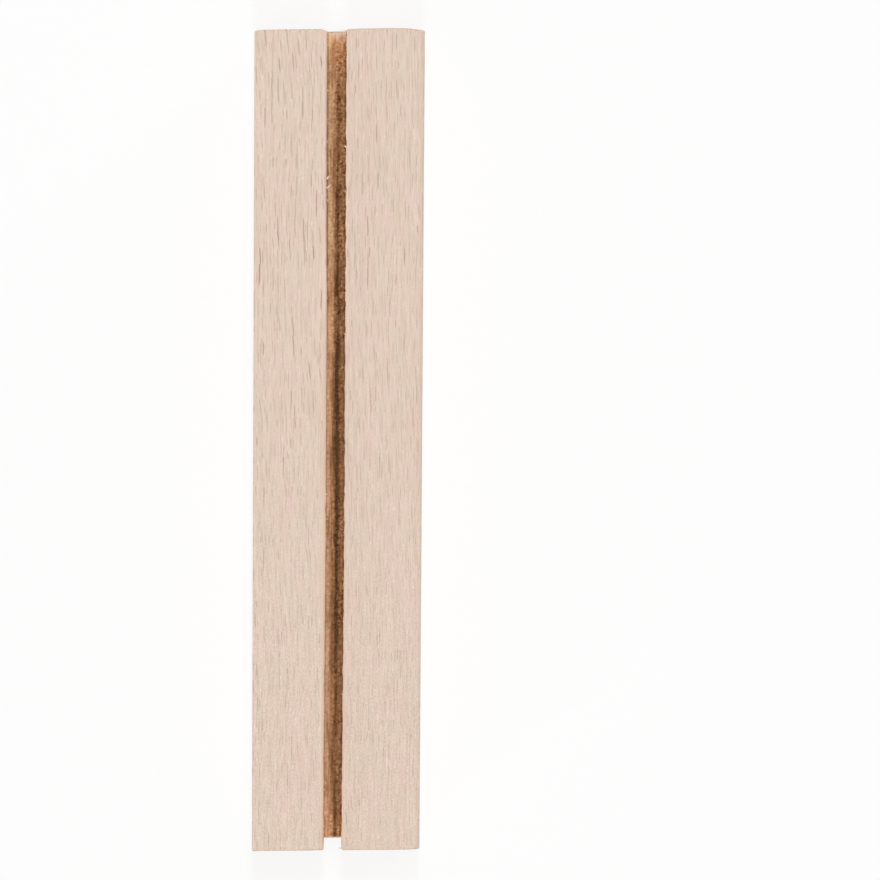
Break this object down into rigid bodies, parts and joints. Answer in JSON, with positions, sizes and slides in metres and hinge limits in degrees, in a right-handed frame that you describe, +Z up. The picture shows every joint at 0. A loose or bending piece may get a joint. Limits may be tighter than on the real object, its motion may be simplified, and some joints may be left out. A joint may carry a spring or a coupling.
{
  "type": "slotted wooden stand",
  "caption": "Rectangular beech block with a straight saw-cut slot along its top, open at both ends, that holds a card or menu upright on a table.",
  "frame": {"origin": "middle of the base, on the surface that the stand rests on", "axes": "+Z up, +Y along the slot, +X across the slot towards the thicker cheek"},
  "size_m": [0.0164, 0.08, 0.0179],
  "materials": {
    "beech": "sawn and sanded, unfinished"
  },
  "bodies": {
    "root": {"slotted_block": "beech"}
  },
  "joints": []
}
